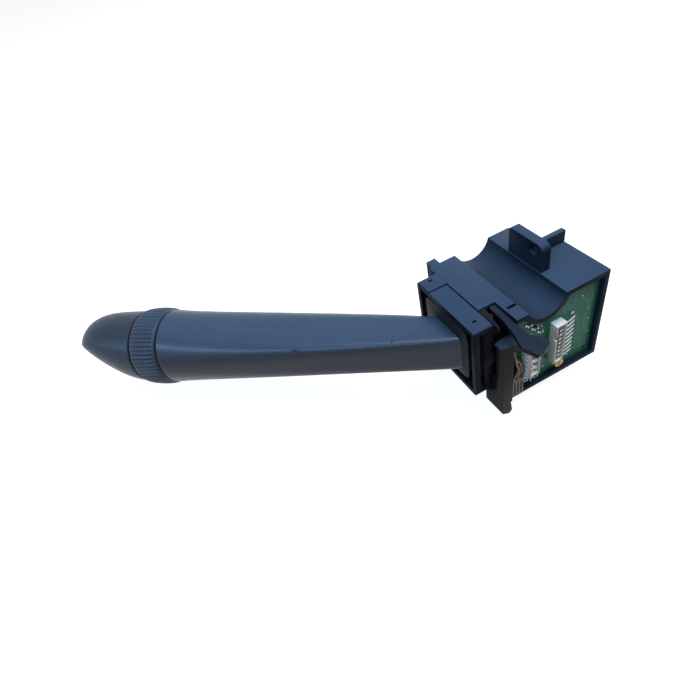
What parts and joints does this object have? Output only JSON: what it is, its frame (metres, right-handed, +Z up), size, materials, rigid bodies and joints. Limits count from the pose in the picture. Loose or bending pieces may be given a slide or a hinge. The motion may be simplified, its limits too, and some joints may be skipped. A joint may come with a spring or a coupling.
{
  "type": "combination stalk switch",
  "caption": "Steering column stalk switch: housing with half round saddle and screw ear, lever that rocks and pulls, ribbed selector ring and bullet shaped push button at its tip",
  "frame": {"origin": "centre of the screw hole, on the front face of the screw ear", "axes": "+X towards the rear of the switch, away from the lever; +Y along the saddle, away from the open board side; +Z up, out of the saddle"},
  "size_m": [0.1582, 0.1225, 0.0507],
  "materials": {
    "case_plastic": "fine eroded grain",
    "frame_plastic": "fine eroded grain",
    "guard_plastic": "smooth, satin",
    "lever_plastic": "fine soft grain",
    "ring_plastic": "satin, ribbed",
    "button_plastic": "satin",
    "finger_plastic": "smooth, satin",
    "board_laminate": "solder resist over copper",
    "part_ceramic": "matt ceramic with tinned ends",
    "header_plastic": "smooth nylon",
    "plug_plastic": "smooth nylon",
    "track_plastic": "smooth acetal",
    "switch_plastic": "smooth",
    "tinned_pins": "tinned",
    "spring_steel": "drawn wire",
    "turned_steel": "ground",
    "contact_brass": "pressed strip",
    "screw_brass": "turned, slightly dull",
    "wire_sleeve": "thin extruded sleeve"
  },
  "bodies": {
    "housing": {"main_case": "case_plastic", "front_frame": "frame_plastic", "bearing_plate": "frame_plastic", "cable_guard": "guard_plastic", "circuit_board": "board_laminate", "board_components": "part_ceramic", "main_connector": "header_plastic", "main_connector_pins": "tinned_pins", "lamp_connector": "header_plastic", "lamp_connector_pins": "tinned_pins", "wire_plug": "plug_plastic", "bay_wires": "wire_sleeve", "board_screws": "screw_brass", "contact_frame": "header_plastic", "turn_cam": "track_plastic", "cancel_pin": "turned_steel", "cancel_spring": "spring_steel"},
    "finger": {"cancel_finger": "finger_plastic"},
    "carrier": {"turn_carrier": "case_plastic", "beam_cam": "track_plastic", "beam_pin": "turned_steel", "flash_switch": "switch_plastic", "turn_plunger_spring": "spring_steel"},
    "plunger": {"turn_plunger": "turned_steel"},
    "slider": {"turn_slider": "header_plastic", "turn_wipers": "contact_brass"},
    "lever": {"lever_core": "lever_plastic", "lever_shell": "lever_plastic", "lever_skirt": "frame_plastic", "beam_plunger_spring": "spring_steel", "lever_wires": "wire_sleeve", "head_core": "lever_plastic", "head_board": "board_laminate", "button_switch": "switch_plastic", "ring_clip": "turned_steel", "detent_ball": "turned_steel", "detent_spring": "spring_steel", "button_spring": "spring_steel"},
    "return_plunger": {"beam_plunger": "turned_steel"},
    "ring": {"selector_ring": "ring_plastic", "ring_wiper": "contact_brass"},
    "button": {"end_button": "button_plastic", "button_stem": "button_plastic"}
  },
  "joints": [
    {"name": "turn", "type": "hinge", "parent": "housing", "child": "carrier", "pos_m": [-0.0245, -0.0037, -0.0213], "axis": [0, 1, 0], "range_deg": [-9, 9]},
    {"name": "flash", "type": "hinge", "parent": "carrier", "child": "lever", "pos_m": [-0.0245, -0.0037, -0.0213], "axis": [0, 0, 1], "range_deg": [-5, 0], "stiffness_Nm_per_rad": 5},
    {"name": "ring_turn", "type": "hinge", "parent": "lever", "child": "ring", "pos_m": [-0.0245, -0.0037, -0.0213], "axis": [-0.7768, 0.629, -0.0314], "continuous": true},
    {"name": "button_press", "type": "slide", "parent": "lever", "child": "button", "axis": [0.7768, -0.629, 0.0314], "range_m": [0, 0.0005], "stiffness_N_per_m": 1500, "springref_m": -0.001, "deforming": ["button_spring"]},
    {"name": "cancel_swing", "type": "hinge", "parent": "housing", "child": "finger", "pos_m": [-0.0192, -0.0069, -0.0098], "axis": [1, 0, 0], "range_deg": [0, 8], "stiffness_Nm_per_rad": 0.05, "deforming": ["cancel_spring"]},
    {"name": "turn_plunger_slide", "type": "slide", "parent": "carrier", "child": "plunger", "axis": [1, 0, 0], "range_m": [-0.001, 0], "stiffness_N_per_m": 800, "deforming": ["turn_plunger_spring"]},
    {"name": "return_plunger_slide", "type": "slide", "parent": "lever", "child": "return_plunger", "axis": [1, 0, 0], "range_m": [-0.0008, 0.0004], "stiffness_N_per_m": 800, "deforming": ["beam_plunger_spring"]},
    {"name": "slider_slide", "type": "slide", "parent": "housing", "child": "slider", "axis": [0, 0, 1], "range_m": [-0.0028, 0.0028]}
  ],
  "couplings": [
    {"joint": "slider_slide", "follows": "turn", "m_per_rad": -0.017}
  ]
}
